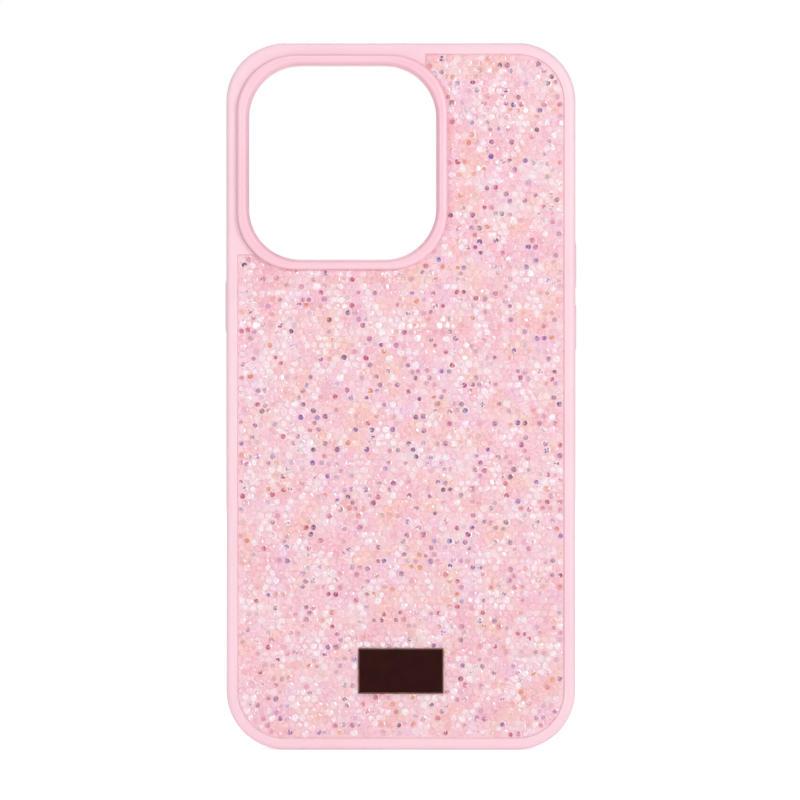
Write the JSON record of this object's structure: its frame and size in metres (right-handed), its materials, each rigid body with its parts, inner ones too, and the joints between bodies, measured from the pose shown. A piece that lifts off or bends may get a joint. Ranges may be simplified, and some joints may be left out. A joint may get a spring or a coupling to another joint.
{
  "type": "phone case",
  "caption": "Stone-covered phone case: a soft band round a hard back, with a raised camera opening, a name plate and sprung key covers.",
  "frame": {"origin": "centre of the case's bottom edge, midway between the camera bezel's crest and the screen lip", "axes": "+Z towards the top of the phone, -Y out of the decorated back, +Y out of the screen, +X towards the volume keys"},
  "size_m": [0.0762, 0.0134, 0.1526],
  "materials": {
    "soft_band": "satin soft plastic, pale pink",
    "hard_back": "smooth moulded plastic, pink",
    "bezel": "satin gloss, pale pink",
    "film": "clear adhesive film",
    "carrier": "cast resin sheet, pink",
    "stones": "cut stones, mixed pinks with violet, peach and clear",
    "enamel_plate": "polished dark brown enamel",
    "foam_pad": "foam tape",
    "key_cover": "satin, pale pink"
  },
  "bodies": {
    "case": {"bumper_band": "soft_band", "back_plate": "hard_back", "camera_bezel": "bezel", "panel_film": "film", "stone_carrier": "carrier", "stone_bed": "stones", "name_plate": "enamel_plate", "name_plate_pad": "foam_pad"},
    "volume_up": {"volume_up_key": "key_cover"},
    "volume_down": {"volume_down_key": "key_cover"},
    "side": {"side_key": "key_cover"}
  },
  "joints": [
    {"name": "volume_up_press", "type": "slide", "parent": "case", "child": "volume_up", "axis": [-1, 0, 0], "range_m": [0, 0.00035], "stiffness_N_per_m": 500},
    {"name": "volume_down_press", "type": "slide", "parent": "case", "child": "volume_down", "axis": [-1, 0, 0], "range_m": [0, 0.00035], "stiffness_N_per_m": 500},
    {"name": "side_key_press", "type": "slide", "parent": "case", "child": "side", "axis": [1, 0, 0], "range_m": [0, 0.00035], "stiffness_N_per_m": 500}
  ]
}
